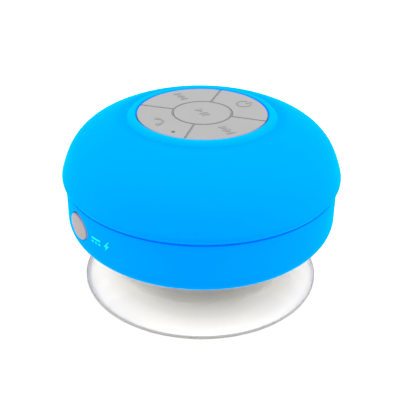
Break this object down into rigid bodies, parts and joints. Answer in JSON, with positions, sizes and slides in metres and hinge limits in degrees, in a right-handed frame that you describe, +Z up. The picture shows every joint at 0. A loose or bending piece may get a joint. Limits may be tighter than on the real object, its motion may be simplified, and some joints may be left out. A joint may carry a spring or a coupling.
{
  "type": "shower speaker",
  "caption": "Squat round wireless speaker in a split silicone skin, with keys on top, a plugged charging port at the side and a clear suction cup underneath that it turns on.",
  "frame": {"origin": "on the axis, in the plane of the suction cup's rim, which is the lowest plane of the part", "axes": "+Z up along the axis that the body turns on; -Y towards the charging port; +Y towards the power key"},
  "size_m": [0.0854, 0.0854, 0.0557],
  "materials": {
    "blue_silicone": "soft satin silicone skin",
    "grey_silicone": "matte light grey silicone rubber",
    "clear_pvc": "clear soft PVC, glossy",
    "grey_abs": "grey moulded ABS",
    "frosted_abs": "pale frosted ABS",
    "dark_abs": "black moulded ABS",
    "black_rubber": "black rubber",
    "steel": "plated steel",
    "nylon": "natural nylon",
    "mesh_cloth": "black acoustic mesh",
    "pcb_green": "solder-masked board",
    "black_epoxy": "black moulded epoxy",
    "ferrite": "dark ferrite",
    "paper_cone": "pressed paper",
    "copper": "enamelled copper wire",
    "battery_wrap": "foil pouch",
    "cable_jacket": "black insulated leads"
  },
  "bodies": {
    "cup": {"suction_cup": "clear_pvc"},
    "hub": {"cup_hub": "frosted_abs", "pivot_screw": "steel", "pivot_washer": "steel"},
    "housing": {"upper_sleeve": "blue_silicone", "lower_sleeve": "blue_silicone", "keypad_membrane": "grey_silicone", "grille_plate": "grey_abs", "upper_shell": "dark_abs", "lower_shell": "dark_abs", "usb_bracket": "dark_abs", "battery_tray": "dark_abs", "shell_gasket": "black_rubber", "speaker_gasket": "black_rubber", "speaker_surround": "black_rubber", "shell_screw_1": "steel", "shell_screw_2": "steel", "shell_screw_3": "steel", "shell_screw_4": "steel", "plate_screw_1": "steel", "plate_screw_2": "steel", "plate_screw_3": "steel", "pcb_screw_1": "steel", "pcb_screw_2": "steel", "usb_socket": "steel", "microphone": "steel", "speaker_frame": "steel", "speaker_top_plate": "steel", "speaker_yoke": "steel", "glide_washer": "nylon", "speaker_spider": "nylon", "grille_membrane": "mesh_cloth", "main_pcb": "pcb_green", "usb_board": "pcb_green", "radio_chip": "black_epoxy", "switch_play": "black_epoxy", "switch_power": "black_epoxy", "switch_next": "black_epoxy", "switch_phone": "black_epoxy", "switch_prev": "black_epoxy", "speaker_magnet": "ferrite", "battery": "battery_wrap", "battery_cable": "cable_jacket", "speaker_cable": "cable_jacket", "usb_cable": "cable_jacket"},
    "key_play": {"key_play": "grey_silicone"},
    "stem_play": {"stem_play": "nylon"},
    "key_power": {"key_power": "grey_silicone"},
    "stem_power": {"stem_power": "nylon"},
    "key_next": {"key_next": "grey_silicone"},
    "stem_next": {"stem_next": "nylon"},
    "key_phone": {"key_phone": "grey_silicone"},
    "stem_phone": {"stem_phone": "nylon"},
    "key_prev": {"key_prev": "grey_silicone"},
    "stem_prev": {"stem_prev": "nylon"},
    "plug": {"port_plug": "grey_silicone"},
    "diaphragm": {"speaker_cone": "paper_cone", "voice_coil": "copper", "dust_cap": "paper_cone"}
  },
  "joints": [
    {"name": "cup_press", "type": "slide", "parent": "cup", "child": "hub", "axis": [0, 0, -1], "range_m": [0, 0.004], "stiffness_N_per_m": 4000, "springref_m": -0.0006, "deforming": ["suction_cup"]},
    {"name": "swivel", "type": "hinge", "parent": "hub", "child": "housing", "pos_m": [0, 0, 0.015], "axis": [0, 0, 1], "continuous": true},
    {"name": "play_press", "type": "slide", "parent": "housing", "child": "key_play", "axis": [0, 0, -1], "range_m": [0, 0.0007], "stiffness_N_per_m": 1500, "springref_m": -0.0005},
    {"name": "play_stem", "type": "slide", "parent": "housing", "child": "stem_play", "axis": [0, 0, -1], "range_m": [0, 0.00025]},
    {"name": "power_press", "type": "slide", "parent": "housing", "child": "key_power", "axis": [0, 0, -1], "range_m": [0, 0.0007], "stiffness_N_per_m": 1500, "springref_m": -0.0005},
    {"name": "power_stem", "type": "slide", "parent": "housing", "child": "stem_power", "axis": [0, 0, -1], "range_m": [0, 0.00025]},
    {"name": "next_press", "type": "slide", "parent": "housing", "child": "key_next", "axis": [0, 0, -1], "range_m": [0, 0.0007], "stiffness_N_per_m": 1500, "springref_m": -0.0005},
    {"name": "next_stem", "type": "slide", "parent": "housing", "child": "stem_next", "axis": [0, 0, -1], "range_m": [0, 0.00025]},
    {"name": "phone_press", "type": "slide", "parent": "housing", "child": "key_phone", "axis": [0, 0, -1], "range_m": [0, 0.0007], "stiffness_N_per_m": 1500, "springref_m": -0.0005},
    {"name": "phone_stem", "type": "slide", "parent": "housing", "child": "stem_phone", "axis": [0, 0, -1], "range_m": [0, 0.00025]},
    {"name": "prev_press", "type": "slide", "parent": "housing", "child": "key_prev", "axis": [0, 0, -1], "range_m": [0, 0.0007], "stiffness_N_per_m": 1500, "springref_m": -0.0005},
    {"name": "prev_stem", "type": "slide", "parent": "housing", "child": "stem_prev", "axis": [0, 0, -1], "range_m": [0, 0.00025]},
    {"name": "plug_pull", "type": "slide", "parent": "housing", "child": "plug", "axis": [0, -1, 0], "range_m": [0, 0.006]},
    {"name": "cone_stroke", "type": "slide", "parent": "housing", "child": "diaphragm", "axis": [0, 0, 1], "range_m": [-0.0008, 0.0008], "stiffness_N_per_m": 1500}
  ],
  "couplings": [
    {"joint": "play_stem", "follows": "play_press", "ratio": 0.3571},
    {"joint": "power_stem", "follows": "power_press", "ratio": 0.3571},
    {"joint": "next_stem", "follows": "next_press", "ratio": 0.3571},
    {"joint": "phone_stem", "follows": "phone_press", "ratio": 0.3571},
    {"joint": "prev_stem", "follows": "prev_press", "ratio": 0.3571}
  ]
}
